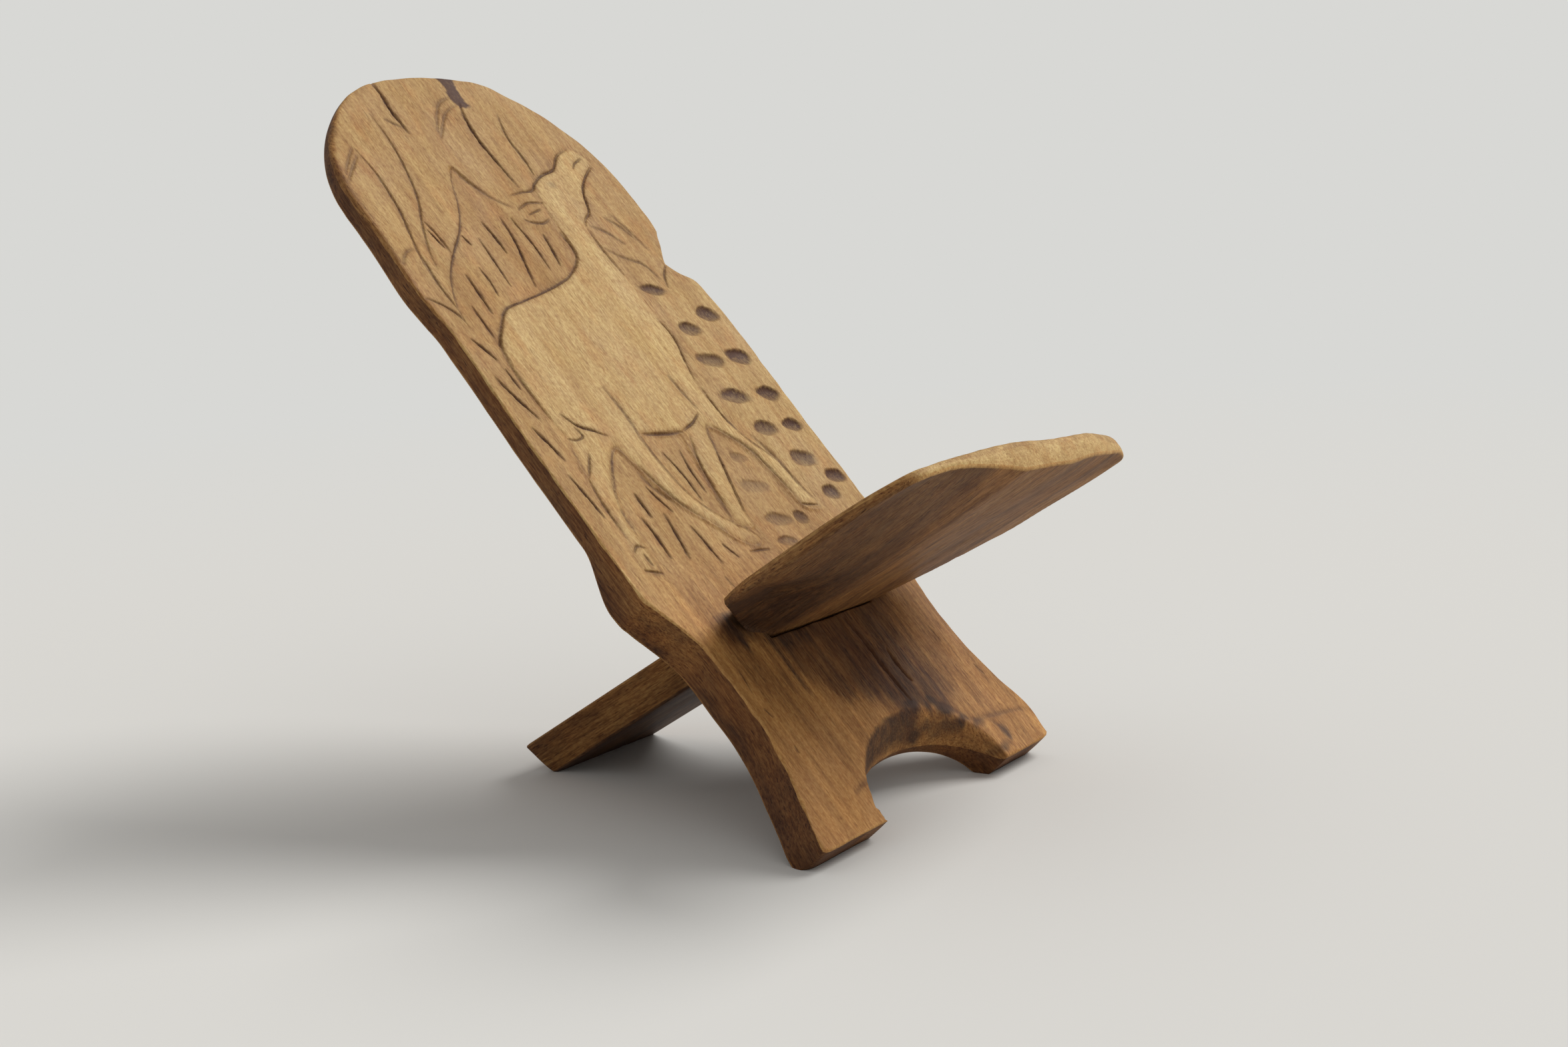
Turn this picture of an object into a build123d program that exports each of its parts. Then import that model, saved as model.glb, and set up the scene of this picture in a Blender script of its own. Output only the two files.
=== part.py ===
"""Birthing chair made of two hardwood planks and no other hardware.

The back plank leans back on two feet. The seat plank narrows to a tongue that plugs
through a slot in the back plank and runs down to the floor behind, so the two planks
prop each other. Pulling the seat forward along its own tongue takes the chair apart.

The chair stands on z = 0 and faces -Y. The origin is on the floor under the middle of
its bounding box. Lengths are in millimetres and angles in degrees.
"""

import os
from math import cos, radians, sin, tan

from build123d import *

# How the planks stand
LEAN = 42.2  # back plank, from the vertical
SEAT_RISE = 30.8  # seat plank, from the floor
FOOT_FLAT_START = 20.9  # from the front face to the strip that the feet stand on

# Back plank, measured along its front face from the foot end
BACK_LENGTH = 642.0
FOOT_THICKNESS = 30.0  # from the feet to the hips
SHOULDER_THICKNESS = 16.0  # the hollowed length above the hips
CROWN_THICKNESS = 12.0  # at the very top
HOLLOW_START = 200.0  # where the back begins to thin
HOLLOW_RAMP = 40.0  # length over which it comes down to the shoulder thickness
HOLLOW_ROUNDING = 30.0

FOOT_HALF_WIDTH = 140.0
FOOT_CORNER_RADIUS = 9.0
ANKLE_HEIGHT = 14.0  # where the foot starts to draw in
WAIST_HALF_WIDTH = 118.0
WAIST_BOTTOM = 84.0
WAIST_TOP = 130.0
ANKLE_SLOPE = 23.0  # of the edge from upright, where the foot starts to draw in
HIP_SLOPE = 30.0  # of the edge from upright, where it meets the hip
HIP_HALF_WIDTH = 140.0
HIP_HEIGHT = 197.0
SIDE_BULGE = 1.0  # how far the long sides bow out
SIDE_TOP_HALF_WIDTH = 136.5  # just under the notches

# Notches below the crown: a deep V on one edge, a shallow one on the other
NOTCH_HEIGHT = 447.0
NOTCH_BELOW = 20.0
NOTCH_ABOVE = 27.0
DEEP_NOTCH = 20.0
SHALLOW_NOTCH = 4.0
CROWN_HALF_WIDTH = 138.0
CROWN_STRAIGHT = 38.0  # straight length of the edge between the notch and the arch of the crown

# Arch between the feet, cut square behind and scooped out in front
ARCH_HALF_WIDTH = 74.0
ARCH_HEIGHT = 42.0
SCOOP_HALF_WIDTH = 77.0
SCOOP_HEIGHT = 61.0
SCOOP_DEPTH = 21.0

# Seat plank, measured along its length from the front face of the back plank
TONGUE_THICKNESS = 26.0
TONGUE_HALF_WIDTH = 70.0  # across its top
TAIL_HALF_WIDTH = 67.0
TONGUE_SLANT = 13.0  # how far each side leans in towards the underside
TONGUE_LENGTH = 232.0  # from the slot to the end that meets the floor
TONGUE_ROOT = 92.0  # how far the tongue runs on under the seat
SLOT_HEIGHT = 152.3  # middle of the slot on the front face

SEAT_HALF_WIDTH = 154.0
SEAT_OFFSET = 4.0  # the seat is off centre by this much, towards the deep notch's side
SEAT_WIDEST = 118.0
SHOULDER_HALF_WIDTH = 132.0
SHOULDER_REACH = 37.0  # shoulder corner, in front of the back plank
STOP_HALF_WIDTH = 84.0  # the shoulders bear on the back plank out to here
STOP_REACH = 4.0
FRONT_CORNER_HALF_WIDTH = 145.0
FRONT_CORNER_REACH = 188.0
SEAT_REACH = 210.0  # middle of the front edge
FRONT_SKEW = 11.0  # each front corner is this far out of square
FRONT_CORNER_RADIUS = 16.0
SEAT_RIM = 15.0  # upright edge of the seat, under its top
UNDERSIDE_BEVEL = 12.0  # how far the bevel under the rim runs in
HULL_HALF_WIDTH = 58.0  # flat of the underside, towards the shallow notch's side
HULL_SLOPE = 9.0  # of the underside beyond that
DISH_RADIUS = 84.0  # shallow hollow in the top
DISH_DEPTH = 3.0
DISH_CENTRE = 112.0

# Fits and softened edges
SLOT_SIDE_CLEARANCE = 1.0
SLOT_FACE_CLEARANCE = 0.5
STOP_GAP = 0.3  # between the seat's shoulders and the back plank
FACE_ROUNDING = 2.0
TONGUE_ROUNDING = 2.5
SEAT_TOP_ROUNDING = 3.0
OVERCUT = 50.0  # how far cutters run past what they cut
FAR = 2000.0  # size of the blocks that trim the planks to a plane
HALF_TURN = 180
PICK = 1.0  # margin around a place where corners are picked out

# Derived placing
crown_spring = NOTCH_HEIGHT + NOTCH_ABOVE + CROWN_STRAIGHT
hollow_end = HOLLOW_START + HOLLOW_RAMP
foot_lift = FOOT_FLAT_START * sin(radians(LEAN))
back_frame = Plane(
    origin=(0, 0, foot_lift),
    x_dir=(1, 0, 0),
    z_dir=(0, -cos(radians(LEAN)), sin(radians(LEAN))),
)
seat_frame = Plane(
    origin=back_frame.from_local_coords(Vector(0, SLOT_HEIGHT, 0)),
    x_dir=(-1, 0, 0),
    z_dir=(0, sin(radians(SEAT_RISE)), cos(radians(SEAT_RISE))),
)
side_view = Plane(origin=(0, 0, 0), x_dir=(0, 1, 0), z_dir=(1, 0, 0))


def below(height):
    """Everything under a level plane."""
    return Pos(0, 0, height - FAR / 2) * Box(FAR, FAR, FAR)


def flank(side, notch_depth):
    """One edge of the back plank from the foot to the crown; side is 1 or -1."""

    def at(half_width, height):
        return (side * half_width, height)

    draw_in = Spline(
        at(FOOT_HALF_WIDTH, ANKLE_HEIGHT),
        at(WAIST_HALF_WIDTH, WAIST_BOTTOM),
        at(WAIST_HALF_WIDTH, WAIST_TOP),
        at(HIP_HALF_WIDTH, HIP_HEIGHT),
        tangents=[(-side * tan(radians(ANKLE_SLOPE)), 1), (side * tan(radians(HIP_SLOPE)), 1)],
    )
    notch_bottom = NOTCH_HEIGHT - NOTCH_BELOW
    long_side = ThreePointArc(
        at(HIP_HALF_WIDTH, HIP_HEIGHT),
        at(HIP_HALF_WIDTH + SIDE_BULGE, (HIP_HEIGHT + notch_bottom) / 2),
        at(SIDE_TOP_HALF_WIDTH, notch_bottom),
    )
    notch = Polyline(
        at(SIDE_TOP_HALF_WIDTH, notch_bottom),
        at(SIDE_TOP_HALF_WIDTH - notch_depth, NOTCH_HEIGHT),
        at(CROWN_HALF_WIDTH, NOTCH_HEIGHT + NOTCH_ABOVE),
        at(CROWN_HALF_WIDTH, crown_spring),
    )
    return [draw_in, long_side, notch]


def back_outline():
    """Front view of the back plank, without its openings."""
    crown_rise = BACK_LENGTH - crown_spring
    crown = EllipticalCenterArc((0, crown_spring), CROWN_HALF_WIDTH, crown_rise, arc_size=HALF_TURN)
    foot = Polyline(
        (-FOOT_HALF_WIDTH, ANKLE_HEIGHT),
        (-FOOT_HALF_WIDTH, 0),
        (FOOT_HALF_WIDTH, 0),
        (FOOT_HALF_WIDTH, ANKLE_HEIGHT),
    )
    outline = make_face([foot] + flank(1, DEEP_NOTCH) + [crown] + flank(-1, SHALLOW_NOTCH))
    corners = [v for v in outline.vertices() if v.Y < ANKLE_HEIGHT / 2]
    return fillet(corners, FOOT_CORNER_RADIUS)


def back_thickness():
    """Side view of the back plank: thick below the hips, hollowed behind above them."""
    edge = Polyline(
        (0, 0),
        (0, -FOOT_THICKNESS),
        (HOLLOW_START, -FOOT_THICKNESS),
        (hollow_end, -SHOULDER_THICKNESS),
        (crown_spring, -SHOULDER_THICKNESS),
        (BACK_LENGTH, -CROWN_THICKNESS),
        (BACK_LENGTH, 0),
        close=True,
    )
    profile = make_face(edge)
    ramp = [v for v in profile.vertices() if HOLLOW_START - PICK < v.X < hollow_end + PICK]
    return fillet(ramp, HOLLOW_ROUNDING)


def arch_shape(half_width, height):
    """Half ellipse that stands on the foot end and runs on below it."""
    arc = EllipticalCenterArc((0, 0), half_width, height, arc_size=HALF_TURN)
    skirt = Polyline(
        (-half_width, 0), (-half_width, -OVERCUT), (half_width, -OVERCUT), (half_width, 0)
    )
    return make_face([arc, skirt])


def arch_cutter():
    """Opening between the feet, with the scoop that widens it towards the front."""
    inner = arch_shape(ARCH_HALF_WIDTH, ARCH_HEIGHT)
    outer = arch_shape(SCOOP_HALF_WIDTH, SCOOP_HEIGHT)
    hole = extrude(inner, amount=-2 * FOOT_THICKNESS)
    return hole + loft([outer, Pos(0, 0, -SCOOP_DEPTH) * inner])


def tongue_section(half_width, reach, height=TONGUE_THICKNESS):
    """Cross section of the tongue, narrower below, at a reach from the back plank."""
    foot_half_width = half_width - TONGUE_SLANT
    corners = [(half_width, height / 2), (foot_half_width, -height / 2)]
    corners += [(-x, y) for x, y in reversed(corners)]
    across = Plane(origin=(0, reach, 0), x_dir=(1, 0, 0), z_dir=(0, -1, 0))
    return across * make_face(Polyline(*corners, close=True))


def slot_cutter():
    """Straight passage for the tongue, placed in the seat plank's frame."""
    height = TONGUE_THICKNESS + 2 * SLOT_FACE_CLEARANCE
    section = tongue_section(TONGUE_HALF_WIDTH + SLOT_SIDE_CLEARANCE, 0, height)
    return seat_frame * extrude(section, amount=2 * OVERCUT, both=True)


def make_back_plank():
    blank = extrude(back_outline(), amount=-FOOT_THICKNESS)
    thickness = extrude(side_view * back_thickness(), amount=FOOT_HALF_WIDTH * 2, both=True)
    plank = blank & thickness
    front_face = plank.faces().sort_by(Axis.Z)[-1]
    plank = fillet(front_face.outer_wire().edges(), FACE_ROUNDING)
    plank = back_frame * (plank - arch_cutter())
    return plank - slot_cutter() - below(0)


def seat_outline():
    """Plan of the seat: bowed sides and front, and shoulders cut back to the tongue."""

    def half(side):
        def at(half_width, reach):
            return (side * half_width - SEAT_OFFSET, reach)

        widest = at(SEAT_HALF_WIDTH, SEAT_WIDEST)
        corner = at(FRONT_CORNER_HALF_WIDTH, FRONT_CORNER_REACH + side * FRONT_SKEW)
        shoulder = at(SHOULDER_HALF_WIDTH, SHOULDER_REACH)
        return [
            TangentArc(widest, shoulder, tangent=(0, -1)),
            TangentArc(widest, corner, tangent=(0, 1)),
        ]

    right = half(1)
    left = half(-1)
    front = ThreePointArc(right[1] @ 1, (-SEAT_OFFSET, SEAT_REACH), left[1] @ 1)
    shoulders = Polyline(
        left[0] @ 1,
        (-STOP_HALF_WIDTH, STOP_REACH),
        (-STOP_HALF_WIDTH, -OVERCUT),
        (STOP_HALF_WIDTH, -OVERCUT),
        (STOP_HALF_WIDTH, STOP_REACH),
        right[0] @ 1,
    )
    plan = make_face(right + left + [front, shoulders])
    corners = [v for v in plan.vertices() if v.Y > SEAT_WIDEST + PICK]
    return fillet(corners, FRONT_CORNER_RADIUS)


def seat_board():
    """The seat itself: an upright rim over a bevelled underside."""
    blank = extrude(Pos(0, 0, -TONGUE_THICKNESS / 2) * seat_outline(), amount=TONGUE_THICKNESS)
    underside = blank.faces().sort_by(Axis.Z)[0]
    under_rim = underside.edges().filter_by(lambda edge: edge.center().Y > 0)
    bevel_height = TONGUE_THICKNESS - SEAT_RIM
    board = chamfer(under_rim, UNDERSIDE_BEVEL, bevel_height, reference=underside)
    top_rim = board.faces().sort_by(Axis.Z)[-1].edges().filter_by(lambda edge: edge.center().Y > 0)
    return fillet(top_rim, SEAT_TOP_ROUNDING) - hull_cutter()


def hull_cutter():
    """What is planed off under one side, so that the underside rises towards that rim."""
    pivot = Pos(HULL_HALF_WIDTH, 0, -TONGUE_THICKNESS / 2) * Rot(0, -HULL_SLOPE, 0)
    return pivot * Pos(FAR / 2, 0, -FAR / 2) * Box(FAR, FAR, FAR)


def dish():
    """The part of a sphere that hollows out the top of the seat."""
    radius = (DISH_RADIUS**2 + DISH_DEPTH**2) / (2 * DISH_DEPTH)
    centre = Pos(-SEAT_OFFSET, DISH_CENTRE, TONGUE_THICKNESS / 2 - DISH_DEPTH + radius)
    return centre * Sphere(radius)


def tongue():
    """The plank behind the seat, tapering slightly to the tail."""
    root = tongue_section(TONGUE_HALF_WIDTH, TONGUE_ROOT)
    neck = tongue_section(TONGUE_HALF_WIDTH, 0)
    tail = tongue_section(TAIL_HALF_WIDTH, -TONGUE_LENGTH)
    blank = loft([root, neck, tail], ruled=True)
    ends = blank.faces().filter_by(Axis.Y).edges()
    neck_line = blank.edges().filter_by(lambda edge: abs(edge.center().Y) < PICK)
    return fillet(blank.edges() - ends - neck_line, TONGUE_ROUNDING)


def make_seat_plank():
    behind_the_face = back_frame * below(STOP_GAP)
    board = seat_frame * seat_board() - behind_the_face
    return board + seat_frame * tongue() - seat_frame * dish() - below(0)


def main():
    back_plank = make_back_plank()
    seat_plank = make_seat_plank()
    whole = back_plank.bounding_box().add(seat_plank.bounding_box())
    to_origin = Pos(-whole.center().X, -whole.center().Y, 0)
    os.makedirs("parts", exist_ok=True)
    export_step(to_origin * back_plank, "parts/back_plank.step")
    export_step(to_origin * seat_plank, "parts/seat_plank.step")


main()
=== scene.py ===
"""Looks of the birthing chair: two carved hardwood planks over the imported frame.

Each plank is made of a front sheet, a rear sheet and the walls between them. The sheets' heights
vary over the plank's plan, so the carving is real relief. Plans and heights are in millimetres in
the plank's own axes: x across, s along the grain and n out of its front face. On the seat, r is
the reach in front of the back plank, so r = -s. Blender's objects are in metres, in the frame of
the CAD model.
"""

from math import cos, pi, radians, sin, tan

import bmesh
import bpy
import numpy as np
from mathutils import Matrix, Vector
from mathutils.bvhtree import BVHTree
from mathutils.geometry import delaunay_2d_cdt


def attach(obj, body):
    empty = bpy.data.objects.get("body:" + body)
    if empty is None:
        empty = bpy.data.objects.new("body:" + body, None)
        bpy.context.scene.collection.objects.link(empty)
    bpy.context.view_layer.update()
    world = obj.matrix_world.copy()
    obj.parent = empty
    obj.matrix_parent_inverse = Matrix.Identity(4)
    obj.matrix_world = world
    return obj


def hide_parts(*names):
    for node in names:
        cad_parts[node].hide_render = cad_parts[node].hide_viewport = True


MM = 0.001

# How the planks stand, as in the CAD model: angles, and places in millimetres
LEAN = radians(42.2)
SEAT_RISE = radians(30.8)
FOOT_FLAT_START = 20.9
SLOT_HEIGHT = 152.3
FRONT_FOOT_Y = -178.93
MIDDLE_X = -4.0
SLOT_SLANT = LEAN - SEAT_RISE

# Back plank: length, thicknesses and the s where they change, arch, scoop around the arch, and wear
BACK_LENGTH = 642.0
FOOT_THICKNESS = 30.0
SHOULDER_THICKNESS = 16.0
CROWN_THICKNESS = 11.0
CROWN_SPRING = 512.0
HOLLOW_START = 198.0
HOLLOW_END = 243.0
ARCH_HALF_WIDTH = 74.0
ARCH_HEIGHT = 42.0
SCOOP_HALF_WIDTH = 76.0
SCOOP_HEIGHT = 61.0
SCOOP_DEPTH = 21.0
CROWN_WEAR = 3.2

# Depth of the carved ground: in the grass panel, around the animal and between its legs
PANEL_DEPTH = 1.4
FIELD_DEPTH = 0.9
LEG_FIELD_DEPTH = 1.7

# Adze marks on the rear: length and depth of a stroke, width and depth of a lane
STROKE_LENGTH = 34
STROKE_DEPTH = 0.7
LANE_WIDTH = 41
LANE_DEPTH = 0.6

# Seat plank: tongue, right rim, rise to the front, hull-like underside, sag, thin places and dish
PLANK_THICKNESS = 26.0
TONGUE_HALF_WIDTH = 70.0
TAIL_HALF_WIDTH = 67.0
TONGUE_LENGTH = 231.5
TONGUE_SLANT = 13.0
RIGHT_RIM = 21.0
RIGHT_BEVEL = 9.0
RISE_START = 70.0
HULL_START = -57.0
HULL_SLOPE = radians(9.5)
HULL_BLEND = 26
FRONT_SAG = 4.6
SHOULDER_THINNING = 15.0
THINNEST = 7.5
CORNER_WEAR = 6.0
SEAT_MIDDLE = 4.0
DISH_RADIUS = 84.0
DISH_DEPTH = 3.0
DISH_CENTRE = 112.0
SLOT_CLEARANCE = 0.7

# Rim along the front of the seat: x and height of its left end, its cusp and its right end, and how
# far its lower edge rises in a curve between them
RIM_X = (-130, -33, 137)
RIM_HEIGHT = (6.5, 21.5, 18)
RIM_CURVE = (3, 0.6)

# The face of a plank that a vertex is on; the seat's top is its front, its underside its rear
FRONT, WALL, REAR = 0, 1, 2

# Lattices of points: spacing, spacing of the rows as a share of it, and how far from the rows along
# the carving the medium one starts and ends
COARSE = 3.2
SEAT_COARSE = 2.4
MEDIUM = 1.7
ROW_SPACING = 0.866
MEDIUM_FROM, MEDIUM_TO = 0.4, 4.0

# Rows of points: beside a cut line in its half widths, beside an outline in mm, and rings in a spot
# as shares of its size; of points nearer than about CLOSEST, one is kept
LINE_ROWS = (-1.3, -0.85, -0.42, 0, 0.42, 0.85, 1.3)
OUTLINE_ROWS = (-2.5, -1.3, -0.5, 0.2, 0.9, 1.7, 2.6)
SPOT_RINGS = (0.08, 0.28, 0.46, 0.62, 0.76, 0.88, 0.98, 1.08, 1.2)
RING_POINTS = 36
CLOSEST = 0.35

# Edges: rows of points inside them, their rounding, and the walls' levels and swell
RIM_ROWS = (0.3, 0.7, 1.2, 2.0)
ARRIS = 1.3
WALL_STEPS = (0.02, 0.07, 0.16, 0.30, 0.50, 0.70, 0.84, 0.93, 0.98)
BACK_SWELL = 0.3
SEAT_SWELL = 0.4

# Plan of the back plank: each flank from the foot to the crown
LEFT_FLANK = [
    (-141, 2), (-139, 14), (-134, 28), (-128, 46), (-122, 66), (-118, 88), (-118, 110), (-119, 142),
    (-123, 156), (-130, 171), (-136, 183), (-140, 197), (-140.5, 250), (-140, 312), (-138, 362),
    (-137, 395), (-137, 415), (-140, 436), (-141, 447), (-140.5, 462), (-138, 499), (-138, 525),
    (-137, 540), (-131, 561),
]
CROWN = [(-117, 585), (-97, 607), (-74, 624), (-46, 635), (-14, 640.5), (14, 641.5), (42, 639.5)]
CROWN += [(66, 634), (91, 616), (109, 597), (122, 577), (131, 555)]
RIGHT_FLANK_TOP = [(134.5, 537), (136, 510), (136, 490), (134, 479)]
DEEP_NOTCH = [(121, 457), (116, 447.5), (124, 437), (135, 427.5)]
RIGHT_FLANK = [
    (137, 408), (138, 383), (137, 345), (136, 310), (135, 243), (134.5, 221), (134, 197), (131, 180),
    (125, 160), (120, 138), (118, 112), (119, 90), (122, 72), (128, 50), (134, 34), (136, 22), (134, 8),
]

# Plan of the seat, from the left shoulder round the front to the right one (x, r)
SEAT_LEFT = [(-127, 37), (-140, 62), (-147, 92), (-149.5, 122), (-148.5, 160), (-143, 187)]
SEAT_FRONT = [(-134, 202), (-112, 207.2), (-60, 208.9), (0, 208.2), (60, 203), (110, 192), (134, 184)]
SEAT_RIGHT = [(147, 172), (154, 150), (157, 120), (155.7, 92), (150, 66), (136, 38)]
STOP_HALF_WIDTH = 84.0
STOP_REACH = 4.5

# Carving: the antelope that stands on the back, as one closed outline
NECK_AND_BACK = [
    (33, 487), (29, 463), (8, 446), (-20, 436), (-50, 429), (-75, 423), (-92, 408), (-104, 392),
    (-108, 370), (-107, 330), (-105, 314),
]
FAR_HIND_LEG = [
    (-111, 290), (-116, 258), (-117, 236), (-121, 223), (-120, 209), (-109, 205), (-107, 222),
    (-106, 245), (-100, 265), (-86, 286), (-70, 300),
]
NEAR_HIND_LEG = [
    (-62, 283), (-50, 250), (-29, 223), (-20, 211), (-8, 204), (0, 208), (-6, 218), (-22, 233),
    (-35, 255), (-40, 290), (-38, 307),
]
BELLY = [(-20, 303.5), (0, 301.5)]
NEAR_FRONT_LEG = [(-2, 285), (-8, 255), (-10, 233), (-12, 222), (2, 219), (4, 230), (16, 266), (28, 300)]
FAR_FRONT_LEG = [(44, 290), (56, 272), (61, 252), (65, 228), (70, 221), (82, 219), (79, 240), (75, 262)]
CHEST = [(60, 287), (53, 310), (51, 335), (57, 358), (63, 382), (61, 440), (60, 487)]
JAW = [(73, 501), (85, 522), (100, 537), (116, 549), (117, 557)]
FOREHEAD = [(107, 566), (90, 561), (72, 546), (50, 540), (39, 529), (35, 510)]
ANTELOPE = NECK_AND_BACK + FAR_HIND_LEG + NEAR_HIND_LEG + BELLY + NEAR_FRONT_LEG + FAR_FRONT_LEG
ANTELOPE += CHEST + JAW + FOREHEAD

# Carving: the panel of tall grass behind the neck, cut lower than its surroundings
BIG_LEAF = [
    (-28, 553), (-38, 540), (-50, 515), (-65, 494), (-85, 475), (-103, 455), (-116, 430), (-119, 408),
]
GRASS_PANEL = BIG_LEAF + [(-106, 392), (-92, 409), (-75, 424), (-50, 430), (-20, 437), (8, 447)]
GRASS_PANEL += [(28, 461), (33, 487), (30, 497), (15, 494), (0, 500), (-12, 516)]

# Carving: cut lines, from firm to faint, then blades of grass, cracks and dark figure of the grain
FIRM_LINES = [
    BIG_LEAF,
    NECK_AND_BACK[:9],
    [(-38, 307), (-20, 303.5), (0, 302), (3, 302)],
    [(3, 302), (18, 307), (30, 313.5)],
    [(-98, 334), (-90, 322), (-80, 316), (-69, 309)],
    [(5, 522), (20, 525), (34, 527), (43, 534), (56, 541), (72, 546), (88, 560), (104, 566)],
    [(62, 489), (66, 496), (76, 503), (85, 521), (97, 534), (118, 549)],
]
LINES = [
    [(-106, 574), (-103, 555), (-103, 540), (-106, 515), (-112, 493), (-118, 470), (-120, 448)],
    [(-69, 606), (-69, 580), (-73, 555), (-82, 526), (-96, 500), (-106, 478), (-111, 460)],
    [(58, 605), (51, 586), (49, 573), (49, 548)],
    [(49, 575), (50, 562), (48, 541)],
    [(-93, 505), (-90, 494), (-89, 482), (-89, 473)],
    [(-117, 484), (-117, 467), (-119, 448), (-118, 424)],
    [(93, 545), (100, 551), (113, 557)],
    [(1, 500), (10, 496), (20, 495), (32, 500)],
    [(3, 508), (12, 512), (20, 515), (38, 515)],
    [(10, 503), (20, 506), (30, 509)],
    [(-97, 300), (-108, 286), (-112, 282)],
    [(-70, 301), (-82, 290), (-97, 268)],
    [(-106, 314), (-100, 311), (-92, 313), (-94, 322)],
    [(-112, 284), (-116, 262), (-117, 238)],
    [(31, 487), (31, 470), (27, 457)],
    [(53, 335), (53, 310), (61, 287)],
    [(62, 400), (64, 380), (57, 358), (52, 340)],
    [(30, 305), (15, 265), (3, 230)],
    [(6, 298), (-4, 272), (-10, 236)],
    [(-141, 440), (-131, 434), (-122, 424), (-118, 412)],
    [(115, 447), (104, 436), (98, 424)],
    [(-120, 222), (-114, 226), (-107, 224)],
    [(-113, 221), (-112, 209)],
    [(-122, 209), (-114, 206), (-106, 203)],
    [(-20, 201), (-8, 200), (2, 198)],
    [(64, 226), (72, 223), (82, 220)],
]
FAINT_LINES = [
    [(22, 622), (8, 616), (0, 609), (-10, 596), (-18, 583)],
    [(22, 613), (8, 607), (-2, 598), (-12, 587), (-20, 578)],
    [(-106, 574), (-118, 562), (-130, 548)],
    [(-106, 567), (-118, 556), (-133, 541)],
    [(-118, 481), (-128, 477), (-138, 467)],
    [(-60, 600), (-52, 594), (-47, 590)],
    [(-28, 553), (-22, 536), (-12, 520), (0, 511)],
    [(64, 490), (76, 482), (88, 468)],
    [(95, 500), (103, 480), (108, 460)],
    [(85, 497), (96, 486), (104, 470)],
    [(62, 468), (72, 458), (90, 448), (98, 430)],
    [(-42, 350), (-40, 326), (-42, 300)],
    [(28, 350), (30, 330), (32, 316)],
    [(-107, 392), (-109, 360), (-108, 330)],
    [(62, 440), (60, 465), (61, 487)],
    [(-62, 285), (-56, 266), (-48, 248), (-38, 233)],
    [(-66, 280), (-60, 262), (-52, 250)],
    [(33, 303), (44, 292), (55, 278), (60, 262), (66, 232)],
    [(68, 290), (75, 268), (77, 244), (82, 224)],
    [(-6, 275), (-9, 250), (-12, 228)],
    [(-104, 256), (-105, 235)],
]
GRASS = [
    [(-88, 457), (-89, 438), (-90, 420)],
    [(-38, 502), (-36, 486), (-36, 470)],
    [(-17, 506), (-20, 482), (-27, 458), (-33, 438)],
    [(-126, 403), (-121, 394), (-116, 381)],
    [(-129, 371), (-124, 352), (-117, 331)],
    [(-129, 328), (-125, 313), (-121, 297)],
    [(-128, 288), (-125, 268), (-123, 250)],
    [(-91, 247), (-90, 230), (-91, 211)],
    [(-69, 246), (-72, 226), (-76, 207)],
    [(-82, 265), (-82, 243)],
    [(13, 487), (10, 471), (6, 455)],
]
FINE_GRASS = [
    [(-103, 430), (-103, 414), (-103, 400)],
    [(-72, 462), (-71, 448), (-73, 434)],
    [(-52, 488), (-53, 465), (-55, 441)],
    [(-8, 503), (-5, 478), (-7, 452)],
    [(-66, 491), (-63, 480)],
    [(-95, 497), (-91, 478)],
    [(-115, 376), (-115, 356)],
    [(-54, 232), (-52, 215), (-52, 197)],
    [(-38, 213), (-33, 198)],
    [(-30, 291), (-26, 270), (-26, 246)],
    [(-12, 290), (-16, 272), (-17, 251)],
    [(-68, 268), (-64, 255), (-60, 243)],
]
CRACKS = [
    [(-46, 637), (-45, 622), (-47, 608), (-46, 590), (-46, 584)],
    [(27, 616), (23, 606), (19, 590), (18, 572), (20, 550), (22, 529)],
    [(23, 608), (19.5, 592), (18, 575)],
    [(20, 136), (22, 112), (22, 92), (24, 62)],
    [(38, 104), (37, 88), (39, 74)],
]
FIGURE = [
    [(60, 39), (72, 33), (90, 31), (112, 28), (134, 24)],
    [(84, 30), (90, 22), (94, 10)],
    [(44, 56), (54, 49), (62, 41)],
    [(24, 62), (15, 46), (5, 34)],
    [(-60, 22), (-70, 27), (-86, 24)],
]
DASHES = [
    [(-105, 127), (-108, 108)],
    [(-108, 97), (-105, 88)],
    [(-105, 68), (-106, 61)],
    [(-60, 190), (-58, 178)],
    [(96, 108), (97, 92)],
    [(112, 70), (116, 58)],
]

# Each group of lines with its half width, depth and darkness
CUT_GROUPS = [
    (FIRM_LINES, 1.35, 1.3, 0.86),
    (LINES, 1.2, 1.0, 0.72),
    (FAINT_LINES, 1.8, 0.8, 0.55),
    (GRASS, 1.35, 1.4, 1.0),
    (FINE_GRASS, 1.05, 1.0, 0.95),
    (CRACKS, 1.7, 1.8, 1.0),
    (FIGURE, 2.2, 0.15, 0.50),
    (DASHES, 0.8, 0.3, 0.60),
]

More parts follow.
